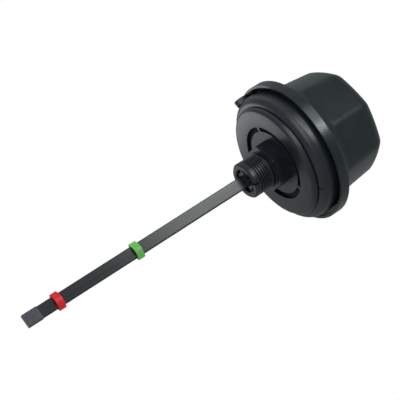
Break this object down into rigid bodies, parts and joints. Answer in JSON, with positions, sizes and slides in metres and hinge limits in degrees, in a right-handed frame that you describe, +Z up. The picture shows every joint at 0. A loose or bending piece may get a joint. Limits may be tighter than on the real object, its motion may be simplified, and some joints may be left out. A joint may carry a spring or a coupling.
{
  "type": "oil dipstick",
  "caption": "Flat oil dipstick with red and green level rings on a threaded reservoir breather cap with an eight-sided hood.",
  "frame": {"origin": "on the neck's axis, where its thread ends under the sealing groove", "axes": "+Z up along the neck's axis towards the hood, -Z along the dipstick blade, -Y towards the blade's broad face"},
  "size_m": [0.1072, 0.1072, 0.2829],
  "materials": {
    "hood_plastic": "black moulded plastic with a satin sheen",
    "base_plastic": "black moulded plastic, smooth satin",
    "blade_plastic": "black moulded plastic, smooth",
    "holder_plastic": "black moulded plastic",
    "red_plastic": "bright red moulded plastic",
    "green_plastic": "bright green moulded plastic",
    "seal_rubber": "black nitrile rubber",
    "filter_paper": "resin-treated filter paper",
    "filter_plastic": "dark grey moulded plastic",
    "foam": "open-cell black foam",
    "felt": "pressed grey felt",
    "valve_plastic": "natural moulded plastic",
    "valve_brass": "turned brass",
    "spring_steel": "bright spring wire"
  },
  "bodies": {
    "cap": {"hood": "hood_plastic", "base_bowl": "base_plastic", "base_plate": "base_plastic", "plate_seal": "seal_rubber", "hood_gasket": "seal_rubber", "neck_seal": "seal_rubber", "dust_foam": "foam", "filter_lower_seal": "seal_rubber", "filter_lower_cap": "filter_plastic", "filter_pleats": "filter_paper", "filter_core": "filter_plastic", "filter_upper_cap": "filter_plastic", "filter_top_ring": "felt", "dipstick_holder": "holder_plastic", "splash_baffle": "holder_plastic", "valve_body": "valve_plastic", "relief_spring": "spring_steel", "relief_spring_cap": "valve_plastic", "dipstick_blade": "blade_plastic", "dipstick_pin": "spring_steel"},
    "relief_valve": {"relief_disc": "valve_brass", "intake_spring": "spring_steel"},
    "intake_valve": {"intake_disc": "valve_brass", "intake_keeper": "valve_brass"},
    "red_ring": {"red_marker_ring": "red_plastic"},
    "green_ring": {"green_marker_ring": "green_plastic"}
  },
  "joints": [
    {"name": "relief_lift", "type": "slide", "parent": "cap", "child": "relief_valve", "axis": [0, 0, 1], "range_m": [0, 0.002], "stiffness_N_per_m": 60, "springref_m": -0.0005, "deforming": ["relief_spring"]},
    {"name": "intake_drop", "type": "slide", "parent": "relief_valve", "child": "intake_valve", "axis": [0, 0, -1], "range_m": [0, 0.0015], "stiffness_N_per_m": 40, "springref_m": -0.0012, "deforming": ["intake_spring"]},
    {"name": "red_ring_slide", "type": "slide", "parent": "cap", "child": "red_ring", "axis": [0, 0, 1], "range_m": [-0.011, 0.028]},
    {"name": "green_ring_slide", "type": "slide", "parent": "cap", "child": "green_ring", "axis": [0, 0, 1], "range_m": [-0.028, 0.08]}
  ]
}
